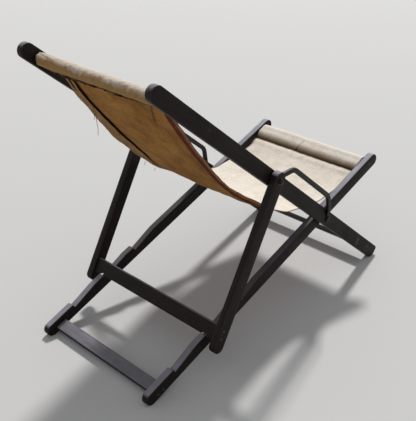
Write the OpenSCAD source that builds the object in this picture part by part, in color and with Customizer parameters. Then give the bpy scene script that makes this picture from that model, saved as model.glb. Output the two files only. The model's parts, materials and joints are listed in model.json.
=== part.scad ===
// Folding deck chair: a back frame, a seat frame and a prop frame of flat rails,
// pinned together at the sides, with a canvas sling hung between two dowels.
// Millimetres, +Z up, the sitter faces -Y, origin on the floor below the middle.

/* [Back frame] */
// Length of a back rail above the seat pivot
back_upper = 932; // [915:1:950]
// Length of a back rail below the seat pivot
back_lower = 392; // [380:1:405]
// Height of a back rail's section
back_rail_h = 45; // [43:1:48]
// Thickness of a back rail
back_rail_t = 21; // [20:1:24]
// Width over the outer faces of the back rails
back_w = 528; // [510:1:560]
// Radius of the lower corner of a front foot
foot_round = 22; // [18:1:22]
// Radius of the upper corner of a front foot
foot_nose = 10; // [4:1:14]

/* [Seat frame] */
// Length of a seat rail in front of the seat pivot
seat_front = 313; // [300:1:330]
// Length of a seat rail behind the seat pivot
seat_rear = 810; // [800:1:820]
// Height of a seat rail's section
seat_rail_h = 41; // [40:1:44]
// Thickness of a seat rail
seat_rail_t = 22; // [20:1:24]

/* [Notches] */
// Distance from the seat pivot to the tip of the tooth that holds the prop
notch_at = 558; // [552:1:564]
// Distance from one tooth to the next
notch_pitch = 138; // [125:1:140]
// Depth of a notch behind its tooth
notch_depth = 13.5; // [13:0.5:15]
// Length of the slope that leads into a notch, measured from the tooth's tip
notch_ramp = 100; // [80:1:115]
// How far the tooth's face leans forward at its foot
notch_lean = 5; // [3:0.5:7]
// How deep the prop's crossbar sits behind the tooth
notch_hold = 2.5; // [2:0.1:2.8]

/* [Prop frame] */
// Distance along the back rail from the seat pivot to the prop pivot
prop_at = 363; // [355:1:370]
// Length of a prop strut above its pivot
prop_top = 27; // [24:1:28]
// Length of a prop strut below its pivot
prop_bottom = 520; // [512:1:530]
// Height of a prop strut's section
prop_h = 40; // [38:1:42]
// Thickness of a prop strut
prop_t = 23; // [20:1:25]
// Distance from the prop pivot to the crossbar's lower edge
crossbar_at = 486; // [482:1:490]
// Height of the crossbar
crossbar_h = 46; // [40:1:50]
// Thickness of the crossbar
crossbar_t = 13; // [11:0.5:13]
// How far the crossbar's rear face lies behind the strut's middle
crossbar_back = 11.5; // [10:0.5:13]

/* [Cross pieces] */
// Distance from the seat pivot to the head dowel
head_dowel_at = 866; // [855:1:872]
// Distance from the seat pivot to the front dowel
front_dowel_at = 270; // [262:1:274]
// Diameter of the head dowel and the front dowel
dowel_d = 30; // [26:1:30]
// How deep each dowel is let into a rail
dowel_socket = 10; // [6:1:14]
// Width of the two foot slats
slat_w = 40; // [34:1:44]
// Thickness of the two foot slats
slat_t = 15; // [12:1:18]
// Distance from the seat pivot to the middle of the front foot slat
front_slat_at = 328; // [310:1:335]
// How far the front foot slat's middle lies over the back rails' middle line
front_slat_over = 3; // [0:0.5:6]
// Distance from the seat pivot to the middle of the rear foot slat
rear_slat_at = 757.5; // [745:0.5:765]

/* [Arms] */
// Height of an arm's middle line over the middle line of the back rail
arm_rise = 58; // [52:1:62]
// Distance along the rail from an arm's eye to its bend
arm_reach = 65; // [58:1:72]
// Height of an arm's bar
arm_h = 15; // [13:1:16]
// Thickness of an arm's bar
arm_t = 10; // [8:1:12]
// Radius of an arm's bends, at the middle of the bar
arm_bend = 36; // [30:1:42]
// Radius of the flat eye at each end of an arm
arm_eye_r = 12; // [11:0.5:13]
// Distance from an eye's middle to where the bar is at full thickness
arm_flat = 32; // [30:1:36]
// How much thinner an arm's neck is than its eye
arm_neck_step = 0.2; // [0.1:0.1:0.5]

/* [Fasteners] */
// Diameter of the four pivot bolts
bolt_d = 8; // [6:1:8]
// Diameter of a pivot bolt's flat head
bolt_head_d = 18; // [16:1:20]
// Thickness of a pivot bolt's flat head
bolt_head_t = 2.5; // [2:0.1:2.8]
// Width of a nut over its flats
nut_w = 13; // [12:0.5:14]
// Thickness of a nut
nut_t = 6.5; // [5:0.5:7]
// How far a bolt stands out of its nut
bolt_proud = 2; // [1:0.5:3]
// Diameter of the washers
washer_d = 20; // [18:1:22]
// Thickness of the washers under the nuts
washer_t = 1.6; // [1.2:0.1:2]
// Diameter of the wood screws
screw_d = 4; // [3.5:0.5:5]
// Diameter of a wood screw's head
screw_head_d = 8; // [7:0.5:9]
// Length of a wood screw
screw_l = 45; // [40:1:50]
// Radius of a wood screw's blunt tip
screw_tip = 0.5; // [0.3:0.1:0.8]

/* [Sling] */
// Thickness of the doubled canvas
cloth_t = 3; // [2.5:0.5:3.5]
// Gap between the sling and the seat rail beside it
sling_edge_gap = 4; // [2:0.5:20]
// Gap between the head pocket and the back rail beside it
pocket_edge_gap = 4; // [2:0.5:20]
// Distance from the head dowel to its pocket's seam
head_pocket = 68; // [60:1:75]
// Distance from the front dowel to its pocket's seam
front_pocket = 48; // [44:1:55]
// How far the head pocket's seam lies under the back rails' middle line
head_seam_under = 6; // [2:0.5:8]
// How far the front pocket's seam lies over the seat rails' middle line
front_seam_over = 3; // [0:0.5:5]
// How far each pocket's loose end reaches past its seam
pocket_hem = 4; // [2:0.5:8]
// How far the sling's middle hangs below its edges
cross_sag = 9; // [4:1:12]
// Pull of the sag curve at the head
sag_head = 400; // [380:1:410]
// Pull of the sag curve at the front
sag_front = 366; // [340:1:380]
// Slope of the sling below the head pocket
slope_head = 60; // [57:1:62]
// Slope of the sling behind the front pocket
slope_front = 21; // [18:1:24]

/* [Clearances] */
// Gap between neighbouring frames, filled by a washer or an arm's eye
frame_gap = 3; // [2.5:0.1:4]
// Radial play of a bolt or a screw in its hole
run_play = 0.05; // [0.02:0.01:0.09]
// Play between a turning frame and each face beside it on a pivot bolt
side_play = 0.05; // [0.02:0.01:0.2]
// Gap between a tooth and the crossbar
seat_play = 0.4; // [0.3:0.1:0.6]
// Gap between a seat rail and the housing cut for it in the crossbar
housing_play = 0.6; // [0.4:0.1:1]
// Gap between the canvas and a dowel
cloth_gap = 0.7; // [0.6:0.1:1]
// Gap between the canvas and a pocket's loose end behind it
pocket_gap = 1.7; // [1:0.1:2.5]
// Depth of the worn flat under each foot
foot_wear = 0.6; // [0.4:0.1:1]

/* [Hidden] */
$fn = 64;

black_wood = [0.13, 0.12, 0.12];
black_iron = [0.10, 0.10, 0.11];
zinc = [0.62, 0.63, 0.65];
canvas = [0.76, 0.66, 0.49];

right = -1;
left = 1;
eps = 0.01;
// How far a cut runs past the faces that it opens
past = 1;

// Where each frame lies across the chair, as distances from the middle
back_out = back_w / 2;
back_in = back_out - back_rail_t;
seat_out = back_in - frame_gap;
seat_in = seat_out - seat_rail_t;
prop_in = back_out + frame_gap;
prop_out = prop_in + prop_t;
eye_out = prop_in - side_play;

// The triangle of seat pivot, prop pivot and the corner of the crossbar
// that rests behind the middle tooth gives the angle between the two frames
rest_along = notch_at - notch_lean * notch_hold / notch_depth - seat_play;
rest_over = seat_rail_h / 2 - notch_hold;
rest_reach = norm([rest_along, rest_over]);
prop_reach = norm([crossbar_at, crossbar_back]);
pivot_angle = acos((prop_at ^ 2 + rest_reach ^ 2 - prop_reach ^ 2)
    / (2 * prop_at * rest_reach));
frame_angle = pivot_angle + atan2(rest_over, rest_along);
prop_corner = acos((prop_at ^ 2 + prop_reach ^ 2 - rest_reach ^ 2)
    / (2 * prop_at * prop_reach));

// Both feet touch the floor, which gives the slope of each frame
foot_along = back_lower - foot_round;
foot_under = back_rail_h / 2 - foot_round;
rear_along = seat_rear - seat_rail_h / 2;
feet_y = foot_along + rear_along * cos(frame_angle);
feet_z = rear_along * sin(frame_angle) - foot_under;
back_angle = atan2(feet_z, feet_y)
    + asin((seat_rail_h / 2 - foot_round) / norm([feet_y, feet_z]));
seat_angle = frame_angle - back_angle;
prop_angle = 180 - back_angle - prop_corner + atan2(crossbar_back, crossbar_at);
pivot_z = rear_along * sin(seat_angle) + seat_rail_h / 2 - foot_wear;

// The origin lies halfway between the foremost and the rearmost point
front_reach = max(
    (back_lower - foot_nose) * cos(back_angle)
        + (back_rail_h / 2 - foot_nose) * sin(back_angle) + foot_nose,
    (seat_front - seat_rail_h / 2) * cos(seat_angle) + seat_rail_h / 2);
rear_reach = rear_along * cos(seat_angle) + seat_rail_h / 2;
pivot_y = (front_reach - rear_reach) / 2;
pivot = [0, pivot_y, pivot_z];
prop_pivot = pivot + prop_at * [0, cos(back_angle), sin(back_angle)];

// Canvas round a dowel, at the middle of its thickness
wrap_r = dowel_d / 2 + cloth_gap + cloth_t / 2;
arc_steps = 11;
sag_steps = 16;
cross_steps = 8;

// Frames: local X runs along a rail, local Y square to it, local Z across
module in_frame(at, tilt) {
    translate(at) rotate([tilt, 0, 0]) rotate([90, 0, 90]) children();
}
module in_back() { in_frame(pivot, back_angle) children(); }
module in_seat() { in_frame(pivot, -seat_angle) children(); }
module in_prop() { in_frame(prop_pivot, -prop_angle) children(); }

// Parts are drawn on the sitter's left, at +X, and mirrored for the right
module on_side(side) {
    if (side == right) mirror([1, 0, 0]) children();
    else children();
}
module on_both_sides() {
    for (side = [left, right]) on_side(side) children();
}

// A cylinder from one distance across the chair to another
module across(r, from, to) {
    translate([0, 0, from]) cylinder(r = r, h = to - from);
}

// Everything below the floor, taken off the feet as their worn flats
module below_floor() {
    reach = back_lower + seat_rear;
    translate([-reach, -reach, -reach]) cube([2 * reach, 2 * reach, reach]);
}

// Wood screw driven inwards from a rail's outer face, drawn at its own place
module screw(outer, play = 0) {
    head_h = (screw_head_d - screw_d) / 2;
    translate([0, 0, outer]) rotate([180, 0, 0]) {
        rotate_extrude() polygon([
            [0, 0], [screw_head_d / 2 + play, 0],
            [screw_d / 2 + play, head_h + play],
            [screw_d / 2 + play, screw_l - screw_d + play],
            [screw_tip + play, screw_l + play], [0, screw_l + play]]);
    }
}

// Places of the screws, in each frame's own plane
front_slat_holes = [[-front_slat_at, front_slat_over]];
rear_slat_holes = [[rear_slat_at - slat_w / 4, -slat_t / 2], [rear_slat_at + slat_w / 4, -slat_t / 2]];
front_dowel_holes = [[-front_dowel_at, 0]];
crossbar_mid = crossbar_back - crossbar_t / 2;
crossbar_holes = [for (k = [0.25, 0.75]) [crossbar_at - k * crossbar_h, crossbar_mid]];
module at_each(places) {
    for (place = places) translate([place.x, place.y, 0]) children();
}

// Back rails, rounded at the head and cut with a rounded corner at the foot
module back_profile() {
    half = back_rail_h / 2;
    translate([-foot_along, -half]) square([foot_along + back_upper - half, back_rail_h]);
    translate([back_upper - half, 0]) circle(half);
    translate([-foot_along, -half + foot_round]) circle(foot_round);
    translate([-back_lower + foot_nose, half - foot_nose]) circle(foot_nose);
    translate([-back_lower, -half + foot_round])
        square([foot_round, back_rail_h - foot_round - foot_nose]);
    translate([-back_lower + foot_nose, -half + foot_round])
        square([foot_round - foot_nose + eps, back_rail_h - foot_round]);
}
module back_rail(side) {
    color(black_wood) difference() {
        on_side(side) in_back() difference() {
            translate([0, 0, back_in]) linear_extrude(back_rail_t) back_profile();
            across(bolt_d / 2 + run_play, back_in - past, back_out + past);
            translate([prop_at, 0, 0])
                across(bolt_d / 2 + run_play, back_in - past, back_out + past);
            translate([head_dowel_at, 0, 0])
                across(dowel_d / 2 + run_play, back_in - past, back_in + dowel_socket);
            at_each(front_slat_holes) screw(back_out, run_play);
        }
        below_floor();
    }
}
module head_dowel() {
    reach = back_in + dowel_socket;
    color(black_wood) in_back() translate([head_dowel_at, 0, 0])
        across(dowel_d / 2, -reach, reach);
}
module front_foot_slat() {
    color(black_wood) difference() {
        in_back() translate([-front_slat_at - slat_w / 2, front_slat_over - slat_t / 2, -back_in])
            cube([slat_w, slat_t, 2 * back_in]);
        on_both_sides() in_back() at_each(front_slat_holes) screw(back_out, run_play);
    }
}
module front_slat_screws() {
    color(black_iron) on_both_sides() in_back() at_each(front_slat_holes) screw(back_out);
}

// Bent iron arm: a bar with two bends, forged flat round each pivot bolt
arm_turn = atan2(arm_rise, arm_reach);
arm_cut = arm_bend * tan(arm_turn / 2);
arm_root = (arm_eye_r + bolt_d / 2) / 2;
bend_steps = 8;
function bend_point(along, off, a) = [along, arm_rise - arm_bend]
    + (arm_bend + off) * [-sin(a), cos(a)];
function arm_side(off) = concat(
    [arm_root * [cos(arm_turn), sin(arm_turn)] + off * [-sin(arm_turn), cos(arm_turn)]],
    [for (k = [bend_steps : -1 : 0])
        bend_point(arm_reach + arm_cut, off, arm_turn * k / bend_steps)],
    [for (k = [0 : bend_steps])
        bend_point(prop_at - arm_reach - arm_cut, off, -arm_turn * k / bend_steps)],
    [[prop_at, 0] + arm_root * [-cos(arm_turn), sin(arm_turn)]
        + off * [sin(arm_turn), cos(arm_turn)]]);
module arm_end() {
    rotate(arm_turn) translate([-arm_h, -arm_h, eye_out - back_out - arm_neck_step])
        cube([arm_flat + arm_h, 2 * arm_h, arm_t]);
}
module arm(side) {
    over = arm_side(arm_h / 2);
    outline = concat(arm_side(-arm_h / 2), [for (k = [len(over) - 1 : -1 : 0]) over[k]]);
    color(black_iron) on_side(side) in_back() translate([0, 0, back_out]) difference() {
        union() {
            difference() {
                linear_extrude(arm_t) polygon(outline);
                arm_end();
                translate([prop_at, 0, 0]) mirror([1, 0, 0]) arm_end();
            }
            for (along = [0, prop_at]) translate([along, 0, 0])
                across(arm_eye_r, 0, eye_out - back_out);
        }
        for (along = [0, prop_at]) translate([along, 0, 0])
            across(bolt_d / 2 + run_play, -past, frame_gap + past);
    }
}

// Pivot hardware: each bolt is fixed in the back rail, and a frame turns on it
module nut(from) {
    translate([0, 0, from]) difference() {
        cylinder(d = nut_w / cos(30), h = nut_t, $fn = 6);
        across(bolt_d / 2 + run_play, -past, nut_t + past);
    }
}
module washer(from, thick) {
    difference() {
        across(washer_d / 2, from, from + thick);
        across(bolt_d / 2 + run_play, from - past, from + thick + past);
    }
}
seat_washer_in = seat_in - side_play - washer_t;
seat_nut_in = seat_washer_in - nut_t;
prop_nut_in = prop_out + side_play + washer_t;
module seat_pivot_bolts() {
    color(black_iron) on_both_sides() in_back() {
        across(bolt_d / 2, seat_nut_in - bolt_proud, eye_out + eps);
        across(bolt_head_d / 2, eye_out, eye_out + bolt_head_t);
    }
}
module seat_pivot_spacers() {
    color(zinc) on_both_sides() in_back() washer(seat_out + side_play, frame_gap - side_play);
}
module seat_pivot_washers() {
    color(zinc) on_both_sides() in_back() washer(seat_washer_in, washer_t);
}
module seat_pivot_nuts() {
    color(zinc) on_both_sides() in_back() nut(seat_nut_in);
}
module prop_pivot_bolts() {
    color(zinc) on_both_sides() in_back() translate([prop_at, 0, 0]) {
        across(bolt_d / 2, back_in - eps, prop_nut_in + nut_t + bolt_proud);
        across(bolt_head_d / 2, back_in - bolt_head_t, back_in);
    }
}
module prop_pivot_washers() {
    color(zinc) on_both_sides() in_back() translate([prop_at, 0, 0])
        washer(prop_out + side_play, washer_t);
}
module prop_pivot_nuts() {
    color(zinc) on_both_sides() in_back() translate([prop_at, 0, 0]) nut(prop_nut_in);
}

// Seat rails, round at both ends, with three teeth along the top behind the pivot
module seat_profile() {
    half = seat_rail_h / 2;
    tips = [for (k = [1, 0, -1]) notch_at + k * notch_pitch];
    teeth = [for (tip = tips) each [
        [tip, half], [tip - notch_lean, half - notch_depth], [tip - notch_ramp, half]]];
    polygon(concat(
        [[half - seat_front, -half], [rear_along, -half], [rear_along, half]],
        teeth, [[half - seat_front, half]]));
    translate([half - seat_front, 0]) circle(half);
    translate([rear_along, 0]) circle(half);
}
module seat_rail(side) {
    color(black_wood) difference() {
        on_side(side) in_seat() difference() {
            translate([0, 0, seat_in]) linear_extrude(seat_rail_t) seat_profile();
            across(bolt_d / 2 + run_play, seat_in - past, seat_out + past);
            translate([-front_dowel_at, 0, 0])
                across(dowel_d / 2 + run_play, seat_in - past, seat_in + dowel_socket);
            at_each(front_dowel_holes) screw(seat_out, run_play);
            at_each(rear_slat_holes) screw(seat_out, run_play);
        }
        below_floor();
    }
}
module front_dowel() {
    reach = seat_in + dowel_socket;
    color(black_wood) difference() {
        in_seat() translate([-front_dowel_at, 0, 0]) across(dowel_d / 2, -reach, reach);
        on_both_sides() in_seat() at_each(front_dowel_holes) screw(seat_out, run_play);
    }
}
module front_dowel_screws() {
    color(black_iron) on_both_sides() in_seat() at_each(front_dowel_holes) screw(seat_out);
}
module rear_foot_slat() {
    color(black_wood) difference() {
        in_seat() translate([rear_slat_at - slat_w / 2, -slat_t, -seat_in])
            cube([slat_w, slat_t, 2 * seat_in]);
        on_both_sides() in_seat() at_each(rear_slat_holes) screw(seat_out, run_play);
    }
}
module rear_slat_screws() {
    color(black_iron) on_both_sides() in_seat() at_each(rear_slat_holes) screw(seat_out);
}

// Prop struts, round at both ends, and the crossbar that drops into a notch
module prop_profile() {
    half = prop_h / 2;
    translate([half - prop_top, -half]) square([prop_top + prop_bottom - prop_h, prop_h]);
    translate([half - prop_top, 0]) circle(half);
    translate([prop_bottom - half, 0]) circle(half);
}
module prop_strut(side) {
    color(black_wood) on_side(side) in_prop() difference() {
        translate([0, 0, prop_in]) linear_extrude(prop_t) prop_profile();
        across(bolt_d / 2 + run_play, prop_in - past, prop_out + past);
        at_each(crossbar_holes) screw(prop_out, run_play);
    }
}
module prop_crossbar() {
    color(black_wood) difference() {
        in_prop() translate([crossbar_at - crossbar_h, crossbar_back - crossbar_t, -prop_in])
            cube([crossbar_h, crossbar_t, 2 * prop_in]);
        on_both_sides() in_prop() at_each(crossbar_holes) screw(prop_out, run_play);
        on_both_sides() in_seat() seat_rail_housing();
    }
}
// Room for a seat rail below the crossbar, as high as the tips of the teeth
module seat_rail_housing() {
    translate([notch_at - crossbar_h, -seat_rail_h / 2, seat_in - housing_play])
        cube([2 * crossbar_h, seat_rail_h + housing_play, seat_rail_t + 2 * housing_play]);
}
module crossbar_screws() {
    color(black_iron) on_both_sides() in_prop() at_each(crossbar_holes) screw(prop_out);
}

// Sling: one strip of canvas along a side-view path, as [y, z, half width, sag]
function turned(at, tilt, p) = [
    at.y + p.x * cos(tilt) - p.y * sin(tilt),
    at.z + p.x * sin(tilt) + p.y * cos(tilt)];
function on_back(p) = turned(pivot, back_angle, p);
function on_seat(p) = turned(pivot, -seat_angle, p);

// Angle at a circle's middle of the point where a line from a point touches it
function touch(mid, from, side) =
    atan2(from.y - mid.y, from.x - mid.x) + side * acos(wrap_r / norm(from - mid));
function arc(mid, from, to) = [for (k = [0 : arc_steps])
    let (a = from + (to - from) * k / arc_steps) mid + wrap_r * [cos(a), sin(a)]];

head_mid = [head_dowel_at, 0];
head_seam = [head_dowel_at - head_pocket, -head_seam_under];
head_end = head_seam + [pocket_hem, -cloth_t - pocket_gap];
head_arc = arc(head_mid, touch(head_mid, head_seam, -1), touch(head_mid, head_end, 1) - 360);
front_mid = [-front_dowel_at, 0];
front_seam = [front_pocket - front_dowel_at, front_seam_over];
front_end = front_seam + [-pocket_hem, -cloth_t - pocket_gap];
front_arc = arc(front_mid, touch(front_mid, front_end, -1), touch(front_mid, front_seam, 1) - 360);

sag_from = on_seat(front_seam);
sag_to = on_back(head_seam);
sag_front_pull = sag_from + sag_front * [cos(slope_front), -sin(slope_front)];
sag_head_pull = sag_to - sag_head * [cos(slope_head), sin(slope_head)];
function sag_point(t) = (1 - t) ^ 3 * sag_from + 3 * (1 - t) ^ 2 * t * sag_front_pull
    + 3 * (1 - t) * t ^ 2 * sag_head_pull + t ^ 3 * sag_to;

sling_half = seat_in - sling_edge_gap;
pocket_half = back_in - pocket_edge_gap;
pocket_step = (pocket_half - sling_half) / 2;
sling_path = concat(
    [[each on_seat(front_end), sling_half, 0]],
    [for (p = front_arc) [each on_seat(p), sling_half, 0]],
    [for (k = [0 : sag_steps]) let (t = k / sag_steps)
        [each sag_point(t), sling_half, cross_sag * 4 * t * (1 - t)]],
    [for (k = [0 : arc_steps])
        [each on_back(head_arc[k]), pocket_half, 0]],
    [[each on_back(head_end), sling_half + pocket_step, 0]]);
path_end = len(sling_path) - 1;
function path_normal(i) =
    let (a = sling_path[max(i - 1, 0)], b = sling_path[min(i + 1, path_end)],
        d = [b.x - a.x, b.y - a.y]) [-d.y, d.x] / norm(d);
function sling_point(i, j, side) =
    let (p = sling_path[i], n = path_normal(i), w = 2 * j / cross_steps - 1,
        off = side * cloth_t / 2 - p[3] * (1 - w ^ 2) * sign(n.y))
    [w * p[2], p.x + n.x * off, p.y + n.y * off];

row = cross_steps + 1;
layer = (path_end + 1) * row;
function sling_at(i, j, s) = s * layer + i * row + j;
module sling() {
    points = [for (s = [0, 1], i = [0 : path_end], j = [0 : cross_steps])
        sling_point(i, j, 2 * s - 1)];
    broad = [for (i = [0 : path_end - 1], j = [0 : cross_steps - 1], s = [0, 1])
        let (a = sling_at(i, j, s), b = sling_at(i, j + 1, s),
            c = sling_at(i + 1, j + 1, s), d = sling_at(i + 1, j, s))
        each (s == 0 ? [[a, b, c], [a, c, d]] : [[a, c, b], [a, d, c]])];
    edges = [for (i = [0 : path_end - 1], j = [0, cross_steps])
        let (a = sling_at(i, j, 0), b = sling_at(i + 1, j, 0),
            c = sling_at(i + 1, j, 1), d = sling_at(i, j, 1))
        each (j == 0 ? [[a, b, c], [a, c, d]] : [[a, c, b], [a, d, c]])];
    ends = [for (j = [0 : cross_steps - 1], i = [0, path_end])
        let (a = sling_at(i, j, 0), b = sling_at(i, j + 1, 0),
            c = sling_at(i, j + 1, 1), d = sling_at(i, j, 1))
        each (i == 0 ? [[a, c, b], [a, d, c]] : [[a, b, c], [a, c, d]])];
    color(canvas) polyhedron(points, concat(broad, edges, ends), convexity = 6);
}

back_rail(right);  // back_rail_right
back_rail(left);  // back_rail_left
head_dowel();
front_foot_slat();
front_slat_screws();
arm(right);  // arm_right
arm(left);  // arm_left
seat_pivot_bolts();
seat_pivot_spacers();
seat_pivot_washers();
seat_pivot_nuts();
prop_pivot_bolts();
prop_pivot_washers();
prop_pivot_nuts();
sling();
seat_rail(right);  // seat_rail_right
seat_rail(left);  // seat_rail_left
front_dowel();
front_dowel_screws();
rear_foot_slat();
rear_slat_screws();
prop_strut(right);  // prop_strut_right
prop_strut(left);  // prop_strut_left
prop_crossbar();
crossbar_screws();
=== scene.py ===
import json
import math
import bmesh
import bpy
import numpy as np
from mathutils import Matrix, Vector


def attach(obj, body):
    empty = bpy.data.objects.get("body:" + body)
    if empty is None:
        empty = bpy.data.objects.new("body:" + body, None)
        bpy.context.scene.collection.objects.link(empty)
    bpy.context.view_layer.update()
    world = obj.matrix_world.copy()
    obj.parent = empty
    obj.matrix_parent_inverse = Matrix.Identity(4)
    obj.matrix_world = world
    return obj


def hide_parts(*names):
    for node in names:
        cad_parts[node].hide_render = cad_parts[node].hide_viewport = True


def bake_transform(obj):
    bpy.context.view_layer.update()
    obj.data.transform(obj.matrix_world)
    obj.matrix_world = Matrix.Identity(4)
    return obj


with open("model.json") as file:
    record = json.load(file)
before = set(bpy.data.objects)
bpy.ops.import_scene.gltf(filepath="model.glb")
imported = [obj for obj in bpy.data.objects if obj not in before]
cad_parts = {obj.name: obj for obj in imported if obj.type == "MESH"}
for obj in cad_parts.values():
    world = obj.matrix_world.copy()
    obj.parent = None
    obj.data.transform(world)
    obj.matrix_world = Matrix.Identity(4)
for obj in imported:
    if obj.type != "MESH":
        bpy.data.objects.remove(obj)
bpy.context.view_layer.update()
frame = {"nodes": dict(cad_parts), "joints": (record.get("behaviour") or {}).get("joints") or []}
print("frame loaded")

seatPivot = next(Vector(joint["pos_m"]) for joint in frame["joints"] if joint["name"] == "seat_fold")

# tilt of each frame in degrees; a rail's own X runs along it, its Y square to it, its Z across the chair
tilts = {"back": 42.6326, "seat": -18.6496, "prop": -58.1631}


def deselectAll():
    if bpy.context.mode != "OBJECT":
        bpy.ops.object.mode_set(mode="OBJECT")
    bpy.ops.object.select_all(action="DESELECT")


def activate(piece):
    deselectAll()
    piece.select_set(True)
    bpy.context.view_layer.objects.active = piece


def onRail(pivot, tilt, along, over):
    # a point of a frame's side view, as (y, z) in the room
    a = math.radians(tilt)
    return np.array([pivot.y + along * math.cos(a) - over * math.sin(a),
                     pivot.z + along * math.sin(a) + over * math.cos(a)])


def onBack(along, over):
    return onRail(seatPivot, tilts["back"], along, over)


def onSeat(along, over):
    return onRail(seatPivot, tilts["seat"], along, over)


# camera
view = {"place": (-1.51778, 1.52651, 1.52435), "turn": 225.4508, "dip": -29.4914, "roll": -2.4358,
        "lens": 66.979, "sensor": 36, "far": 50}


def makeCamera():
    turn, dip, roll = (math.radians(view[key]) for key in ("turn", "dip", "roll"))
    ahead = Vector((-math.sin(turn) * math.cos(dip), math.cos(turn) * math.cos(dip), math.sin(dip)))
    side = ahead.cross(Vector((0, 0, 1))).normalized()
    top = side.cross(ahead)
    rolledSide = side * math.cos(roll) + top * math.sin(roll)
    rolledTop = top * math.cos(roll) - side * math.sin(roll)
    bpy.ops.object.camera_add()
    camera = bpy.context.object
    camera.name = "camera"
    camera.data.lens = view["lens"]
    camera.data.sensor_width = view["sensor"]
    camera.data.clip_end = view["far"]
    axes = Matrix((rolledSide, rolledTop, -ahead)).transposed().to_4x4()
    camera.matrix_world = Matrix.Translation(Vector(view["place"])) @ axes
    bpy.context.scene.camera = camera


makeCamera()
print("camera placed")


# shared node groups
def addNode(tree, kind, x, y, inputs=(), **settings):
    # an input's value is a number, a colour or vector, or the output of another node
    node = tree.nodes.new(kind)
    node.location = (x, y)
    for key, value in settings.items():
        setattr(node, key, value)
    for key, value in dict(inputs).items():
        socket = node.inputs[key]
        if isinstance(value, bpy.types.NodeSocket):
            tree.links.new(value, socket)
        else:
            socket.default_value = (*value, 1.0) if socket.type == "RGBA" else value
    return node


def newGroup(name, inputs, outputs):
    # each input comes with its default value, or None for a vector; every output is a plain value
    group = bpy.data.node_groups.new(name, "ShaderNodeTree")
    for label, value in inputs.items():
        kind = "NodeSocketVector" if value is None else "NodeSocketFloat"
        socket = group.interface.new_socket(label, in_out="INPUT", socket_type=kind)
        if value is not None:
            socket.default_value = value
    for label in outputs:
        group.interface.new_socket(label, in_out="OUTPUT", socket_type="NodeSocketFloat")
    start = addNode(group, "NodeGroupInput", -900, 0)
    end = addNode(group, "NodeGroupOutput", 700, 0)
    return group, start, end


def math2(tree, x, y, operation, *values, clamp=False):
    inputs = dict(enumerate(values))
    return addNode(tree, "ShaderNodeMath", x, y, inputs, operation=operation, use_clamp=clamp).outputs[0]


def noiseAt(tree, x, y, vector, scale, detail, roughness, output="Fac"):
    inputs = {"Vector": vector, "Scale": scale, "Detail": detail, "Roughness": roughness}
    return addNode(tree, "ShaderNodeTexNoise", x, y, inputs).outputs[output]


def remap(tree, x, y, value, low, high, lowTo=0.0, highTo=1.0):
    inputs = {"Value": value, "From Min": low, "From Max": high, "To Min": lowTo, "To Max": highTo}
    node = addNode(tree, "ShaderNodeMapRange", x, y, inputs, interpolation_type="SMOOTHSTEP")
    return node.outputs["Result"]


def mixColour(tree, x, y, factor, first, second):
    inputs = {0: factor, 6: first, 7: second}
    return addNode(tree, "ShaderNodeMix", x, y, inputs, data_type="RGBA").outputs[2]


def splitAxes(tree, x, y, vector):
    return addNode(tree, "ShaderNodeSeparateXYZ", x, y, {0: vector}).outputs


# in the next dictionaries each noise has its scale, detail and roughness; slow takes its group's own scale
grainLook = {"broad": (1.0, 4.0, 0.6), "fine": (3.7, 3.0, 0.6), "fineShare": 0.45, "streak": (0.52, 0.95)}


def buildGrain():
    # long streaks and brush marks of painted timber; the vector comes scaled to the grain's own size
    group, start, end = newGroup("paintedGrain", {"Vector": None, "Contrast": 1.0}, ("Streak", "Height"))
    vector = start.outputs["Vector"]
    broad = noiseAt(group, -600, 200, vector, *grainLook["broad"])
    fine = noiseAt(group, -600, -100, vector, *grainLook["fine"])
    both = math2(group, -300, 50, "MULTIPLY_ADD", fine, grainLook["fineShare"], broad)
    streak = remap(group, -50, 100, both, *grainLook["streak"])
    streak = math2(group, 300, 100, "MULTIPLY", streak, start.outputs["Contrast"])
    group.links.new(streak, end.inputs["Streak"])
    group.links.new(both, end.inputs["Height"])
    return group


wearLook = {"patches": (34.0, 5.0, 0.7), "runs": (7.0, 2.0, 0.5), "runShare": 0.7,
            "level": (-0.4, 1.15), "soft": 0.12}


def buildWear():
    # chips and rubbed paint, kept to a piece's rims
    group, start, end = newGroup("rimWear", {"Vector": None, "Rim": 0.0, "Amount": 0.5}, ("Mask",))
    patches = noiseAt(group, -600, 100, start.outputs["Vector"], *wearLook["patches"])
    runs = noiseAt(group, -600, -150, start.outputs["Vector"], *wearLook["runs"])
    both = math2(group, -350, 0, "MULTIPLY_ADD", runs, wearLook["runShare"], patches)
    level = math2(group, -350, -250, "MULTIPLY_ADD", start.outputs["Amount"], *wearLook["level"])
    upper = math2(group, -150, -250, "ADD", level, wearLook["soft"])
    mask = remap(group, 50, 0, both, level, upper)
    group.links.new(math2(group, 300, 0, "MULTIPLY", mask, start.outputs["Rim"]), end.inputs["Mask"])
    return group


weaveLook = {"wobble": (70.0, 2.0, 0.5), "wobbleBy": 0.0016,
             "slub": (1.0, 2.0, 0.6), "slubRange": (0.75, 1.25),
             "slubSizes": ((0.05, 0.0035, 1.0), (0.0035, 0.05, 1.0))}


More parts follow.
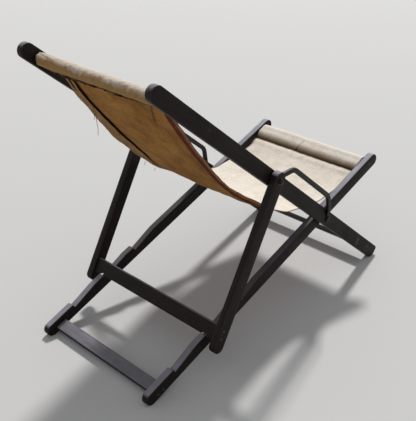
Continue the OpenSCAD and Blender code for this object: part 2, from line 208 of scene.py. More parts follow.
def buildWeave():
    # plain weave with slubs; the vector is the cloth's own map, in metres
    group, start, end = newGroup("plainWeave", {"Vector": None, "Thread": 0.0022}, ("Height", "Slub"))
    vector, by = start.outputs["Vector"], weaveLook["wobbleBy"]
    wobble = noiseAt(group, -750, -250, vector, *weaveLook["wobble"], output="Color")
    shifted = addNode(group, "ShaderNodeVectorMath", -550, -100, {0: wobble, 1: (by, by, 0.0), 2: vector},
                      operation="MULTIPLY_ADD")
    parts = splitAxes(group, -400, -100, shifted.outputs[0])
    turns = math2(group, -400, 150, "DIVIDE", math.pi, start.outputs["Thread"])
    warp = math2(group, -100, 100, "SINE", math2(group, -250, 100, "MULTIPLY", parts["X"], turns))
    weft = math2(group, -100, -50, "SINE", math2(group, -250, -50, "MULTIPLY", parts["Y"], turns))
    knot = math2(group, 100, 50, "MULTIPLY", warp, weft)
    group.links.new(math2(group, 300, 50, "MULTIPLY_ADD", knot, 0.5, 0.5), end.inputs["Height"])
    slubs = []
    for index, size in enumerate(weaveLook["slubSizes"]):
        y = -350 - 250 * index
        inputs = {"Vector": vector, "Scale": size}
        stretched = addNode(group, "ShaderNodeMapping", -500, y, inputs, vector_type="TEXTURE")
        slubs.append(noiseAt(group, -250, y, stretched.outputs[0], *weaveLook["slub"]))
    total = math2(group, 100, -350, "ADD", *slubs)
    group.links.new(remap(group, 350, -350, total, *weaveLook["slubRange"]), end.inputs["Slub"])
    return group


mottleLook = {"slow": (5.0, 0.62), "range": (0.3, 0.72),
              "spots": (150.0, 2.0, 0.5), "spotRange": (0.68, 0.76)}


def buildMottle():
    # slow uneven fading and stains
    group, start, end = newGroup("mottle", {"Vector": None, "Scale": 6.0}, ("Value", "Spots"))
    slow = noiseAt(group, -500, 100, start.outputs["Vector"], start.outputs["Scale"], *mottleLook["slow"])
    group.links.new(remap(group, -200, 100, slow, *mottleLook["range"]), end.inputs["Value"])
    spots = noiseAt(group, -500, -200, start.outputs["Vector"], *mottleLook["spots"])
    group.links.new(remap(group, -200, -200, spots, *mottleLook["spotRange"]), end.inputs["Spots"])
    return group


markLook = {"wobble": (260.0, 2.0, 0.5), "uneven": (1.6, 0.2), "edge": (0.6, 1.1)}


def buildMark():
    # a scratch or chip: everything within a width of the line between two points
    inputs = {"Vector": None, "Start": None, "End": None, "Width": 0.001}
    group, start, end = newGroup("segmentMark", inputs, ("Mask",))

    def between(x, y, operation, first, second):
        return addNode(group, "ShaderNodeVectorMath", x, y, {0: first, 1: second}, operation=operation)

    wobble = noiseAt(group, -900, -300, start.outputs["Vector"], *markLook["wobble"])
    line = between(-700, 100, "SUBTRACT", start.outputs["End"], start.outputs["Start"]).outputs[0]
    away = between(-700, -100, "SUBTRACT", start.outputs["Vector"], start.outputs["Start"]).outputs[0]
    along = between(-500, 0, "DOT_PRODUCT", away, line).outputs["Value"]
    length = between(-500, -200, "DOT_PRODUCT", line, line).outputs["Value"]
    reach = math2(group, -300, 0, "DIVIDE", along, length, clamp=True)
    inputs = {0: line, "Scale": reach}
    foot = addNode(group, "ShaderNodeVectorMath", -150, 100, inputs, operation="SCALE")
    distance = between(0, 0, "DISTANCE", away, foot.outputs[0]).outputs["Value"]
    uneven = math2(group, -200, -300, "MULTIPLY_ADD", wobble, *markLook["uneven"])
    uneven = math2(group, 0, -250, "MULTIPLY", start.outputs["Width"], uneven)
    widths = math2(group, 200, 0, "DIVIDE", distance, uneven)
    group.links.new(remap(group, 350, 0, widths, *markLook["edge"], 1.0, 0.0), end.inputs["Mask"])
    return group


grainGroup, wearGroup, weaveGroup = buildGrain(), buildWear(), buildWeave()
mottleGroup, markGroup = buildMottle(), buildMark()


def useGroup(tree, group, x, y, **inputs):
    return addNode(tree, "ShaderNodeGroup", x, y, inputs, node_tree=group)


def newMaterial(name, roughness=0.5, metallic=0.0, specular=0.5):
    material = bpy.data.materials.new(name)
    material.use_nodes = True
    tree = material.node_tree
    shader = tree.nodes["Principled BSDF"]
    shader.inputs["Roughness"].default_value = roughness
    shader.inputs["Metallic"].default_value = metallic
    shader.inputs["Specular IOR Level"].default_value = specular
    return material, tree, shader


def addBump(tree, shader, height, distance, strength):
    inputs = {"Height": height, "Distance": distance, "Strength": strength}
    bump = addNode(tree, "ShaderNodeBump", -250, -350, inputs)
    tree.links.new(bump.outputs["Normal"], shader.inputs["Normal"])


def attribute(tree, name, x, y):
    return addNode(tree, "ShaderNodeAttribute", x, y, attribute_name=name).outputs["Fac"]


# painted wood
paint = {
    # bleachedAndSkySheen is sun-bleached paint with a painted sky sheen, laid on faces that look upwards
    "dark": (0.0088, 0.0060, 0.0046), "streak": (0.0165, 0.0122, 0.0100), "bleachedAndSkySheen": (0.43, 0.425, 0.49),
    # rim is a painted highlight along the eased edges
    "bare": (0.26, 0.24, 0.22), "scuff": (0.045, 0.024, 0.018), "rim": (0.040, 0.038, 0.042),
    "speck": (0.42, 0.40, 0.38), "roughness": (0.44, 0.60), "specular": 0.12, "bump": (0.00035, 0.6),
    "grainAcross": 0.006, "grainAlong": 0.16, "contrast": 0.8, "mottle": 9.0, "chips": 0.2,
    "rimHighlightShare": 0.3, "speckShare": 0.1, "scuffNoise": (46.0, 4.0, 0.7), "scuffRange": (0.62, 0.74, 0.0, 0.60),
    "unevenBleachAndSheen": (0.35, 0.65), "brushed": (0.45, 0.85, 1.0, 0.72),
    # painted shadow of the canvas: the seat rails' sheen before and behind it, as two values of Y, then the
    # shares there
    "outsideCanvasShadow": ((-0.30, -0.14, 1.0, 0.25), (0.10, 0.40, 0.25, 0.78)),
}
# scratches and chips of the near side: start, end, half width, how light
marks = {
    "back": [((-0.264, -0.4209, 0.1141), (-0.264, -0.4024, 0.0936), 0.0011, 0.9),
             ((-0.264, -0.2170, 0.2570), (-0.264, -0.3261, 0.1582), 0.0009, 0.30),
             ((-0.264, -0.2041, 0.2653), (-0.264, -0.2052, 0.2643), 0.0022, 0.7)],
    "prop": [((-0.290, 0.3202, 0.1369), (-0.290, 0.3196, 0.1362), 0.0018, 0.8),
             ((-0.290, 0.2844, 0.1313), (-0.290, 0.2838, 0.1308), 0.0012, 0.3),
             ((-0.290, 0.2705, 0.1702), (-0.290, 0.2697, 0.1694), 0.0012, 0.3)],
}
# the rubbed head end of the near rail: its centre and radius, the degrees that a patch reaches round it, and
# for each patch its place across, degrees round the end, half width and how light
headEnd = {"centre": 0.9095, "radius": 0.0225, "reach": 10,
           "patches": ((-0.249, 42, 0.0034, 0.55), (-0.258, 66, 0.0030, 0.45), (-0.246, 14, 0.0030, 0.40),
                       (-0.257, 20, 0.0022, 0.35), (-0.251, -12, 0.0020, 0.30), (-0.260, 44, 0.0016, 0.50))}


def makePaint(name, tilt, alongX=False, bleachAndSheen=1.0, shaded=False, scratches=()):
    material, tree, shader = newMaterial(name, specular=paint["specular"])
    place = addNode(tree, "ShaderNodeTexCoord", -1500, 0).outputs["Object"]
    across, along = paint["grainAcross"], paint["grainAlong"]
    inputs = {"Vector": place, "Rotation": (math.radians(tilt), 0, 0),
              "Scale": (along, across, across) if alongX else (across, along, across)}
    grainMap = addNode(tree, "ShaderNodeMapping", -1300, 200, inputs, vector_type="TEXTURE")
    grain = useGroup(tree, grainGroup, -1100, 200, Vector=grainMap.outputs[0], Contrast=paint["contrast"])
    mottle = useGroup(tree, mottleGroup, -1100, -100, Vector=place, Scale=paint["mottle"])
    rim = attribute(tree, "rim", -1300, -300)
    up = attribute(tree, "up", -1300, -500)
    wear = useGroup(tree, wearGroup, -1100, -350, Vector=place, Rim=rim, Amount=paint["chips"])
    body = mixColour(tree, -850, 200, grain.outputs["Streak"], paint["dark"], paint["streak"])
    scuffs = noiseAt(tree, -1100, 400, place, *paint["scuffNoise"])
    scuffs = remap(tree, -850, 400, scuffs, *paint["scuffRange"])
    body = mixColour(tree, -700, 250, scuffs, body, paint["scuff"])
    # painted sky sheen and bleaching on faces that look upwards, uneven with the mottle and the brush marks
    fade = math2(tree, -850, -150, "MULTIPLY_ADD", mottle.outputs["Value"], *paint["unevenBleachAndSheen"])
    brushed = remap(tree, -850, -50, grain.outputs["Height"], *paint["brushed"])
    fade = math2(tree, -700, -100, "MULTIPLY", fade, brushed)
    fade = math2(tree, -700, -150, "MULTIPLY", fade, math2(tree, -850, -350, "MULTIPLY", up, bleachAndSheen))
    if shaded:
        # painted shadow: the stretch below the canvas gets less of the sheen, as the canvas shades it
        parts = splitAxes(tree, -1300, -700, place)
        outsideCanvasShadow = [remap(tree, -1120, -700 - 150 * index, parts["Y"], *values)
                     for index, values in enumerate(paint["outsideCanvasShadow"])]
        fade = math2(tree, -650, -150, "MULTIPLY", fade, math2(tree, -950, -700, "MAXIMUM", *outsideCanvasShadow))
    body = mixColour(tree, -600, 150, fade, body, paint["bleachedAndSkySheen"])
    # painted highlight along the eased edges
    rimHighlightShare = math2(tree, -600, -250, "MULTIPLY", rim, paint["rimHighlightShare"])
    body = mixColour(tree, -450, 100, rimHighlightShare, body, paint["rim"])
    body = mixColour(tree, -300, 50, wear.outputs["Mask"], body, paint["bare"])
    specks = math2(tree, -750, -450, "MULTIPLY", up, paint["speckShare"])
    specks = math2(tree, -600, -450, "MULTIPLY", mottle.outputs["Spots"], specks)
    body = mixColour(tree, -150, 0, specks, body, paint["speck"])
    for index, (begin, finish, width, light) in enumerate(scratches):
        y = -700 - 200 * index
        mark = useGroup(tree, markGroup, -450, y, Vector=place, Start=begin, End=finish, Width=width)
        share = math2(tree, -250, y, "MULTIPLY", mark.outputs["Mask"], light)
        body = mixColour(tree, -100 + 50 * index, -100, share, body, paint["bare"])
    shader.location = (300, 150)
    tree.links.new(body, shader.inputs["Base Color"])
    roughness = remap(tree, -450, -500, mottle.outputs["Value"], 0.0, 1.0, *paint["roughness"])
    tree.links.new(roughness, shader.inputs["Roughness"])
    addBump(tree, shader, grain.outputs["Height"], *paint["bump"])
    return material


for x, turn, width, light in headEnd["patches"]:
    ends = []
    for angle in (math.radians(turn), math.radians(turn + headEnd["reach"])):
        along = headEnd["centre"] + headEnd["radius"] * math.cos(angle)
        ends.append((x, *onBack(along, headEnd["radius"] * math.sin(angle))))
    marks["back"].append((*ends, width, light))

backPaint = makePaint("backPaint", tilts["back"], bleachAndSheen=0.55, scratches=marks["back"])
seatPaint = makePaint("seatPaint", tilts["seat"], shaded=True)
propPaint = makePaint("propPaint", tilts["prop"], bleachAndSheen=0.8, scratches=marks["prop"])
crossPaint = makePaint("crossPaint", 0.0, alongX=True, bleachAndSheen=0.62)


# metal
metal = {"mottle": 60.0, "dots": (900.0, 2.0, 0.5), "bump": (0.0002, 0.4)}


def makeMetal(name, colour, roughness, metallic, spot, spotRoughness, specular=0.5):
    material, tree, shader = newMaterial(name, roughness, metallic, specular)
    place = addNode(tree, "ShaderNodeTexCoord", -1200, 0).outputs["Object"]
    mottle = useGroup(tree, mottleGroup, -950, 0, Vector=place, Scale=metal["mottle"]).outputs["Value"]
    dots = noiseAt(tree, -950, -250, place, *metal["dots"])
    tree.links.new(mixColour(tree, -400, 100, mottle, colour, spot), shader.inputs["Base Color"])
    uneven = remap(tree, -400, -100, mottle, 0.0, 1.0, roughness, spotRoughness)
    tree.links.new(uneven, shader.inputs["Roughness"])
    addBump(tree, shader, dots, *metal["bump"])
    return material


blackIron = makeMetal("blackIron", (0.0085, 0.0075, 0.0072), 0.36, 0.0, (0.016, 0.013, 0.012), 0.5, 0.22)
darkSteel = makeMetal("darkSteel", (0.075, 0.073, 0.072), 0.32, 1.0, (0.035, 0.028, 0.024), 0.6)
screwSteel = makeMetal("screwSteel", (0.10, 0.095, 0.09), 0.4, 1.0, (0.07, 0.05, 0.04), 0.65)


# canvas
canvas = {
    # tan is painted shade on the seat side: the roll round the head dowel and the front seam's hollow
    "seatSide": (0.87, 0.79, 0.69), "seatWorn": (0.91, 0.845, 0.76), "tan": (0.375, 0.222, 0.086),
    # the rear side is the same cream canvas: its dark warm brown is painted shade, as that side faces away
    # from the light
    "rearSide": (0.335, 0.147, 0.030), "rearWorn": (0.50, 0.245, 0.064),
    # the hems are the same cream canvas: their brown is painted shade, as on the rear side
    "hem": (0.37, 0.20, 0.075), "hemWorn": (0.47, 0.30, 0.14), "soil": (0.022, 0.012, 0.007),
    "stripe": (0.105, 0.020, 0.012), "stripeAt": -0.1935, "stripeWidth": 0.0185, "stripeEdge": (0.8, 1.25),
    "patchyNoise": (60.0, 4.0, 0.65), "patchyRange": (0.25, 0.5, 0.75, 1.0),
    "roughness": 0.9, "specular": 0.12, "bump": (0.0006, 0.8), "slubHeight": 0.6,
    "thread": 0.0021, "mottle": 7.0, "threadShade": (0.20, 0.16), "gap": 0.45,
    # each: noise, the range it is read in, and how dark it gets with full dirt
    "speckle": ((210.0, 3.0, 0.7), (0.42, 0.62), 0.70), "stain": ((21.0, 5.0, 0.65), (0.42, 0.70), 0.66),
}


def makeCloth(name, colour, worn, dirt=1.0, stripe=False, dirtAndShadeMasks=("soil",), tan=False):
    material, tree, shader = newMaterial(name, canvas["roughness"], specular=canvas["specular"])
    onCloth = addNode(tree, "ShaderNodeUVMap", -1500, 0, uv_map="clothMap").outputs["UV"]
    weave = useGroup(tree, weaveGroup, -1200, 150, Vector=onCloth, Thread=canvas["thread"])
    mottle = useGroup(tree, mottleGroup, -1200, -150, Vector=onCloth, Scale=canvas["mottle"])
    body = mixColour(tree, -900, 150, mottle.outputs["Value"], colour, worn)
    # painted shade on the head roll's rear side and in the front seam's hollow
    if tan:
        body = mixColour(tree, -800, 150, attribute(tree, "tan", -1000, 300), body, canvas["tan"])
    shade = mixColour(tree, -700, 150, 0.5, body, (0.0, 0.0, 0.0))
    clean, dirty = canvas["threadShade"]
    slubs = math2(tree, -700, -50, "MULTIPLY", weave.outputs["Slub"], clean + dirty * dirt)
    body = mixColour(tree, -500, 150, slubs, body, shade)
    gaps = remap(tree, -700, -250, weave.outputs["Height"], 0.0, canvas["gap"], clean + dirty * dirt, 0.0)
    body = mixColour(tree, -300, 150, gaps, body, shade)
    spots = []
    for y, (noise, (low, high), most) in ((-850, canvas["speckle"]), (-1050, canvas["stain"])):
        level = noiseAt(tree, -900, y, onCloth, *noise)
        spots.append(remap(tree, -700, y, level, low, high, 0.0, most * dirt))
    body = mixColour(tree, -250, 350, math2(tree, -450, -950, "ADD", *spots, clamp=True), body, shade)
    if stripe:
        parts = splitAxes(tree, -1200, -450, onCloth)
        away = math2(tree, -1050, -450, "SUBTRACT", parts["X"], canvas["stripeAt"])
        away = math2(tree, -900, -450, "ABSOLUTE", away)
        low, high = (canvas["stripeWidth"] / 2 * edge for edge in canvas["stripeEdge"])
        patchy = noiseAt(tree, -900, -650, onCloth, *canvas["patchyNoise"])
        band = math2(tree, -500, -500, "MULTIPLY", remap(tree, -700, -450, away, low, high, 1.0, 0.0),
                     remap(tree, -700, -650, patchy, *canvas["patchyRange"]))
        body = mixColour(tree, -150, 150, band, body, canvas["stripe"])
    # these masks carry dirt and also painted shade in creases, seams and under loose cloth
    for index, soil in enumerate(dirtAndShadeMasks):
        mask = attribute(tree, soil, -500, -700 - 200 * index)
        body = mixColour(tree, 100 * index, 150, mask, body, canvas["soil"])
    tree.links.new(body, shader.inputs["Base Color"])
    shader.location = (400, 150)
    height = math2(tree, -500, -250, "MULTIPLY_ADD", weave.outputs["Slub"], canvas["slubHeight"],
                   weave.outputs["Height"])
    addBump(tree, shader, height, *canvas["bump"])
    return material


seatCloth = makeCloth("seatCloth", canvas["seatSide"], canvas["seatWorn"], dirt=0.35, tan=True)
# a copy of the canvas darkened to a warm brown: painted shade on the rear side
rearCloth = makeCloth("rearCloth", canvas["rearSide"], canvas["rearWorn"], stripe=True,
                      dirtAndShadeMasks=("soil", "rearSoil"))
# painted shade: the hems and threads get a shaded brown of the cream canvas
hemCloth = makeCloth("hemCloth", canvas["hem"], canvas["hemWorn"])
print("materials made")


# wooden boards and iron arms: the solids' own shapes with their edges eased
boards = {
    "back_rail_right": ("back_frame", backPaint), "back_rail_left": ("back_frame", backPaint),
    "front_foot_slat": ("back_frame", crossPaint),
    "seat_rail_right": ("seat_frame", seatPaint), "seat_rail_left": ("seat_frame", seatPaint),
    "rear_foot_slat": ("seat_frame", crossPaint),
    "prop_strut_right": ("prop_frame", propPaint), "prop_strut_left": ("prop_frame", propPaint),
    "prop_crossbar": ("prop_frame", crossPaint),
}
easing = {
    "boardEdge": 0.0022, "armEdge": 0.0022, "steps": 3, "smoothBelow": 32,
    # which edges are eased: least angle in degrees, least length, and least width of the faces beside them
    "sharp": 38.0, "shortest": 0.0012, "narrowest": 0.006,
    # a rim is narrower than rimWidth; a face turns from side to top as its normal rises from upFrom by upOver
    "rimWidth": 0.004, "upFrom": 0.6, "upOver": 0.3,
}


def longEdges(piece):
    # picks the sharp edges, but leaves the rims of small bores alone
    mesh = bmesh.from_edit_mesh(piece.data)
    for edge in mesh.edges:
        edge.select = False
    for edge in mesh.edges:
        if len(edge.link_faces) != 2 or edge.calc_face_angle(0) < math.radians(easing["sharp"]):
            continue
        smallest = min(face.calc_area() for face in edge.link_faces)
        if edge.calc_length() >= easing["shortest"] and smallest > easing["shortest"] * easing["narrowest"]:
            edge.select = True
    mesh.select_flush_mode()
    bmesh.update_edit_mesh(piece.data)


def markFaces(piece):
    # rim: the eased edges; up: how far a face looks upwards when the chair stands open
    mesh = piece.data
    rim = mesh.attributes.new("rim", "FLOAT", "FACE")
    up = mesh.attributes.new("up", "FLOAT", "FACE")
    for polygon in mesh.polygons:
        corners = [mesh.vertices[index].co for index in polygon.vertices]
        longest = max((a - b).length for a, b in zip(corners, corners[1:] + corners[:1]))
        slender = polygon.select and polygon.area < easing["rimWidth"] * longest
        rim.data[polygon.index].value = 1.0 if slender else 0.0
        upwards = (polygon.normal.z - easing["upFrom"]) / easing["upOver"]
        up.data[polygon.index].value = min(1.0, max(0.0, upwards))


def easedCopy(node, name, body, material, width):
    source = frame["nodes"][node]
    piece = bpy.data.objects.new(name, source.data.copy())
    bpy.context.collection.objects.link(piece)
    piece.data.transform(source.matrix_world)
    piece.data.materials.clear()
    piece.data.materials.append(material)
    activate(piece)
    bpy.ops.object.mode_set(mode="EDIT")
    bpy.ops.mesh.select_all(action="SELECT")
    bpy.ops.mesh.remove_doubles(threshold=0.00002)
    bpy.ops.mesh.dissolve_limited(angle_limit=math.radians(0.5))
    bpy.ops.mesh.select_mode(type="EDGE")
    longEdges(piece)
    bpy.ops.mesh.bevel(offset=width, segments=easing["steps"], profile=0.5, affect="EDGES",
                       clamp_overlap=False)
    bpy.ops.object.mode_set(mode="OBJECT")
    markFaces(piece)
    if piece.data.has_custom_normals:
        bpy.ops.mesh.customdata_custom_splitnormals_clear()
    for polygon in piece.data.polygons:
        polygon.material_index = 0
    bpy.ops.object.shade_smooth_by_angle(angle=math.radians(easing["smoothBelow"]))
    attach(piece, body)
    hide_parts(node)


for node, (body, material) in boards.items():
    words = node.split("_")
    name = words[0] + "".join(word.capitalize() for word in words[1:])
    easedCopy(node, name, body, material, easing["boardEdge"])
for side in ("right", "left"):
    easedCopy("arm_" + side, "ironArm" + side.capitalize(), "back_frame", blackIron, easing["armEdge"])
print("boards and arms eased")

# dowels and hardware keep their solids
kept = ((crossPaint, ("head_dowel", "front_dowel")), (blackIron, ("seat_pivot_bolts",)),
        (darkSteel, ("seat_pivot_spacers", "seat_pivot_washers", "seat_pivot_nuts",
                     "prop_pivot_bolts", "prop_pivot_washers", "prop_pivot_nuts")),
        (screwSteel, ("front_slat_screws", "front_dowel_screws", "rear_slat_screws", "crossbar_screws")))
for material, nodes in kept:
    for node in nodes:
        for slot in frame["nodes"][node].material_slots:
            slot.material = material

# sling
sling = {
    "cloth": 0.0014, "halfWidth": 0.214, "pocketHalf": 0.2385, "crossSag": 0.009,
    "dowelHead": 0.866, "dowelFront": -0.270, "wrap": 0.0176,
    "headSeam": (0.798, -0.006), "frontSeam": (-0.222, 0.001),
    "headFlap": (0.011, -0.0028), "frontFlap": (0.004, -0.0047),
    "pullFront": 0.366, "slopeFront": 21.0, "pullHead": 0.400, "slopeHead": 60.0,
    # steps of the mesh: the open length, round each dowel, the straight parts of both pockets, and across
    "alongSteps": 200, "arcSteps": 40, "frontFlapSteps": 8, "frontSeamSteps": 10,
    "headSeamSteps": 26, "headFlapSteps": 32, "acrossSteps": 120,
    # how far each edge strays towards the seat side: share of the open length (0 front, 1 head), millimetres
    "nearEdge": ((0, 3), (0.30, 4), (0.36, 2), (0.42, 2.5), (0.50, 9.5), (0.545, 12), (0.595, 5.5),
                 (0.65, 0.5), (0.70, -1.5), (0.74, 0.5), (0.78, 3), (0.83, 2), (0.96, 2), (1, 0)),
    "farEdge": ((0, -4), (0.47, -9), (0.53, -8), (0.64, -10), (0.76, -11), (0.83, -5), (0.94, -2.5), (1, 0)),
    "edgeReach": 0.075,
    # the same for two broad strips that run beside the edges
    "nearBelly": ((0, 0), (0.42, -1), (0.50, -5), (0.58, -7), (0.64, -6), (0.70, -3), (0.76, -0.5),
                  (0.86, -0.5), (0.93, -2), (1, 0)),
    "farBelly": ((0, 0), (0.48, 0), (0.56, 3), (0.62, 8), (0.70, 10), (0.80, 10), (0.86, 7.5), (0.90, 4.5),
                 (0.95, 2.5), (1, 0)),
    "bellyAt": 0.165, "bellyReach": 0.048,
    # smooth unevenness of the hanging cloth, the small waves of its edges, and how far those stray across
    "uneven": 0.0014, "edgeWave": 0.0010, "edgeStray": 0.0016,
    # a faint fold beside the near edge: shares of the open length, then metres across; then where it fades
    "foldAt": ((0.62, 0.70, 0.78, 0.82, 0.93), (-0.160, -0.165, -0.168, -0.149, -0.141)),
    "foldEnds": (0.62, 0.70, 0.90, 0.95), "foldHeight": 0.0009, "foldWidth": 0.0035,
    # where the head pocket's loose end lies along the back frame: metres across, then metres along
    "pocketEnd": ((-0.24, 0.858), (-0.06, 0.856), (0.04, 0.853), (0.125, 0.848), (0.207, 0.842),
                  (0.24, 0.841)),
    # the loose end lies on a line to flapAim, flapGap off the cloth below it, which it meets at meetShare
    "flapAim": (0.863, -0.0173), "flapGap": 0.0026, "meetShare": 0.55,
    # the loose end stands off the cloth over its last steps, and its edge is ragged
    "flapEndSteps": 9, "flapStand": 0.0050, "raggedBy": 0.0022,
    # the parts of the path from which it lies round the head dowel, and from which it is the loose end
    "rollFrom": 5.6, "looseFrom": 6.5,
}


def touchAngle(middle, fromPoint, side):
    # where a straight line from a point touches the cloth round a dowel, as an angle round its middle
    away = np.subtract(fromPoint, middle)
    return math.atan2(away[1], away[0]) + side * math.acos(sling["wrap"] / math.hypot(*away))


def arcPoints(middle, fromAngle, toAngle, count):
    angles = np.linspace(fromAngle, toAngle, count + 1)
    return [(middle[0] + sling["wrap"] * math.cos(a), middle[1] + sling["wrap"] * math.sin(a))
            for a in angles]


def straightPoints(start, end, steps, wanted):
    start, end = np.array(start), np.array(end)
    return [start + (end - start) * step / steps for step in wanted]


def hangingRows(half):
    # the open length hangs in one curve that leaves each seam at its own slope
    start, end = onSeat(*sling["frontSeam"]), onBack(*sling["headSeam"])
    down, steep = math.radians(sling["slopeFront"]), math.radians(sling["slopeHead"])
    dip = start + sling["pullFront"] * np.array([math.cos(down), -math.sin(down)])
    climb = end - sling["pullHead"] * np.array([math.cos(steep), math.sin(steep)])
    rows = []
    for step in range(sling["alongSteps"] + 1):
        t = step / sling["alongSteps"]
        place = (1 - t) ** 3 * start + 3 * (1 - t) ** 2 * t * dip + 3 * (1 - t) * t * t * climb + t ** 3 * end
        rows.append((*place, half, sling["crossSag"] * 4 * t * (1 - t), 3 + t))
    return rows


def slingPath():
    # side view of the cloth from its front flap round both dowels: y, z, half width, sag and part
    # parts 0 to 2 are the front pocket, 3 to 4 the hanging cloth, 5 to 7 the head pocket
    half, pocket = sling["halfWidth"], sling["pocketHalf"]
    frontSeam, headSeam = sling["frontSeam"], sling["headSeam"]
    frontMiddle, headMiddle = (sling["dowelFront"], 0.0), (sling["dowelHead"], 0.0)
    frontEnd = (frontSeam[0] - sling["frontFlap"][0], frontSeam[1] + sling["frontFlap"][1])
    headEnd = (headSeam[0] + sling["headFlap"][0], headSeam[1] + sling["headFlap"][1])
    front = arcPoints(frontMiddle, touchAngle(frontMiddle, frontEnd, -1),
                      touchAngle(frontMiddle, frontSeam, 1) - 2 * math.pi, sling["arcSteps"])
    head = arcPoints(headMiddle, touchAngle(headMiddle, headSeam, -1),
                     touchAngle(headMiddle, headEnd, 1) - 2 * math.pi, sling["arcSteps"])

    def halfAt(grow):
        return half + (pocket - half) * grow * grow * (3 - 2 * grow)

    flapSteps, seamSteps = sling["frontFlapSteps"], sling["frontSeamSteps"]
    flap = straightPoints(frontEnd, front[0], flapSteps, range(flapSteps))
    toSeam = straightPoints(front[-1], frontSeam, seamSteps, range(1, seamSteps))
    rows = [(*onSeat(*point), half, 0.0, kind) for kind, points in enumerate((flap, front, toSeam))
            for point in points]
    rows += hangingRows(half)
    flapSteps, seamSteps = sling["headFlapSteps"], sling["headSeamSteps"]
    fromSeam = straightPoints(headSeam, head[0], seamSteps, range(1, seamSteps))
    flap = straightPoints(head[-1], headEnd, flapSteps, range(1, flapSteps + 1))
    rows += [(*onBack(*point), halfAt(step / seamSteps), 0.0, 5) for step, point in enumerate(fromSeam, 1)]
    rows += [(*onBack(*point), pocket, 0.0, 6) for point in head]
    rows += [(*onBack(*point), halfAt(1 - step / flapSteps), 0.0, 7) for step, point in enumerate(flap, 1)]
    return np.array(rows)


path = slingPath()
steps = np.hypot(*np.diff(path[:, :2], axis=0).T)
run = np.concatenate([[0], np.cumsum(steps)])
ahead = np.gradient(path[:, :2], axis=0)
ahead /= np.hypot(*ahead.T)[:, None]
outward = np.stack([-ahead[:, 1], ahead[:, 0]], axis=1)
part = path[:, 4]
seamRows = {"front": int(np.argmax(part >= 3)), "head": int(np.argmax(part >= 5)) - 1}
frontRun, headRun = run[seamRows["front"]], run[seamRows["head"]]
print("sling path", round(float(run[-1]), 4), "m")


def atRow(row, values):
    # row may fall between two rows of the path
    return np.interp(row, np.arange(len(values)), values)


def ripple(u, v, seed):
    # smooth uneven surface made of a few crossing waves
    total = np.zeros_like(u)
    spin = np.random.default_rng(seed)
    for size, height in ((0.33, 1.0), (0.19, 0.7), (0.11, 0.45), (0.06, 0.25)):
        for _ in range(3):
            angle, phase = spin.uniform(0, math.pi), spin.uniform(0, 2 * math.pi)
            total += height * np.sin(2 * math.pi * (u * math.cos(angle) + v * math.sin(angle)) / size + phase)
    return total / 3.5


def ripples(u, v, waves):
    # several at once, each with its height, how much finer it is across and along, and its seed
    return sum(height * ripple(u * across, v * along, seed) for height, across, along, seed in waves)


def near(value, middle, width):
    return np.exp(-((value - middle) / width) ** 2)


def rise(value, low, high):
    # from 0 at low to 1 at high, where low is the smaller one
    share = np.clip((value - low) / (high - low), 0, 1)
    return share * share * (3 - 2 * share)


def plateau(value, low, full, wane, high):
    # 1 from full to wane, and 0 before low and after high
    return rise(value, low, full) * (1 - rise(value, wane, high))


def smoothCurve(knots, share, samples=401, window=17):
    # a soft curve through a list of (share, millimetres), in metres
    places, values = np.array(knots, float).T
    grid = np.linspace(0, 1, samples)
    kernel = np.hanning(window + 2)[1:-1]
    fine = np.pad(np.interp(grid, places, values), window // 2, mode="edge")
    return 0.001 * np.interp(share, grid, np.convolve(fine, kernel / kernel.sum(), mode="valid"))


def shareAt(v):
    return np.clip((v - frontRun) / (headRun - frontRun), 0, 1)


def openness(row, unevenBleachAndSheen=0.04):
    # 1 on the hanging cloth, 0 on the two pockets
    kind = atRow(row, part)
    return np.clip((kind - 3.0) / unevenBleachAndSheen, 0, 1) * np.clip((5.0 - kind) / unevenBleachAndSheen, 0, 1)


def hangLift(row, u, v, across):
    # how far the hanging cloth strays from its plain curve, towards the seat side
    share = shareAt(v)
    lift = sling["uneven"] * ripple(u, v, 7)
    lift += sling["edgeWave"] * near(np.abs(across), 1.0, 0.05) * np.sin(v * 61 + 1.3 * np.sign(across))
    for side, knots in ((-1, sling["nearEdge"]), (1, sling["farEdge"])):
        lift += smoothCurve(knots, share) * np.exp((side * across - 1) / sling["edgeReach"])
    for side, knots in ((-1, sling["nearBelly"]), (1, sling["farBelly"])):
        lift += smoothCurve(knots, share) * near(side * u, sling["bellyAt"], sling["bellyReach"])
    fold = near(u, np.interp(share, *sling["foldAt"]), sling["foldWidth"])
    lift += sling["foldHeight"] * fold * plateau(share, *sling["foldEnds"])
    return lift * openness(row)


def clothPoint(row, across, lift):
    # across is -1 to 1, and lift is along the cloth's outward side
    low = np.clip(np.floor(row).astype(int), 0, len(path) - 2)
    past = row - low

    def mixRow(table):
        return table[low] + (table[low + 1] - table[low]) * (past[:, None] if table.ndim == 2 else past)

    yz, out = mixRow(path[:, :2]), mixRow(outward)
    half, sag = mixRow(path[:, 2]), mixRow(path[:, 3])
    off = lift - sag * (1 - across ** 2) * np.sign(out[:, 1])
    wave = near(np.abs(across), 1.0, 0.10) * np.sin(row * 0.33 + 2 * np.sign(across))
    x = across * half + openness(row) * sling["edgeStray"] * wave
    return np.stack([x, yz[:, 0] + out[:, 0] * off, yz[:, 1] + out[:, 1] * off], axis=1)


def clothGrid(name, columns, rows):
    deselectAll()
    bpy.ops.mesh.primitive_grid_add(x_subdivisions=columns, y_subdivisions=rows, size=1)
    piece = bpy.context.object
    piece.name = piece.data.name = name
    flat = np.zeros(len(piece.data.vertices) * 3, np.float32)
    piece.data.vertices.foreach_get("co", flat)
    flat = flat.reshape(-1, 3)
    return piece, (flat[:, 0] + 0.5).astype(float), (flat[:, 1] + 0.5).astype(float)


def setPoints(piece, points):
    piece.data.vertices.foreach_set("co", np.asarray(points, np.float32).ravel())
    piece.data.update()


